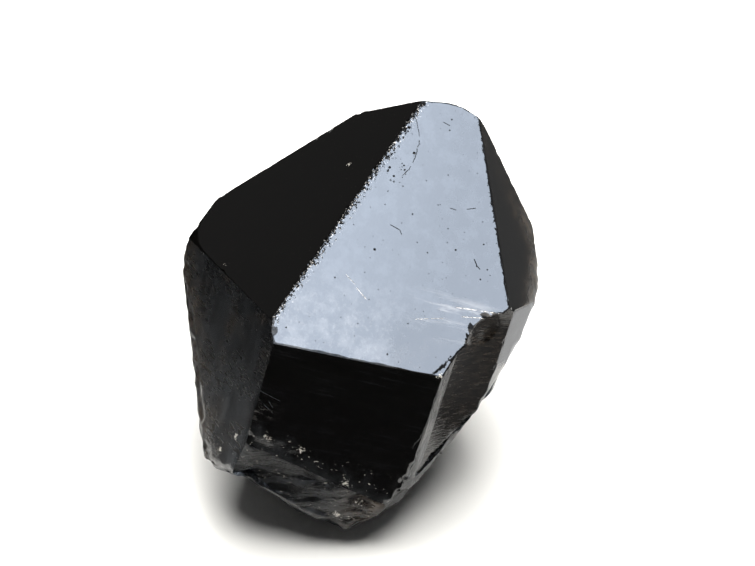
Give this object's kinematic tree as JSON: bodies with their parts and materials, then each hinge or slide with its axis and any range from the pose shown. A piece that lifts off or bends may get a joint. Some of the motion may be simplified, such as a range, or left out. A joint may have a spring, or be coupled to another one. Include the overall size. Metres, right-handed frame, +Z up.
{
  "type": "raw morion quartz crystal",
  "caption": "Stout black quartz crystal with flat shining faces and a pointed tip, broken at its base, that rests loose on a surface.",
  "frame": {"origin": "middle of the bottom of the bounding box, on the surface the crystal rests on", "axes": "+Z up with the crystal resting on its broken base, -Y towards the large front face of the tip, +X to the side with the growth step"},
  "size_m": [0.0496, 0.0484, 0.0462],
  "materials": {
    "morion": "glossy black smoky quartz, nearly opaque, brownish and see-through only at thin edges"
  },
  "bodies": {
    "root": {"morion_crystal": "morion"}
  },
  "joints": []
}
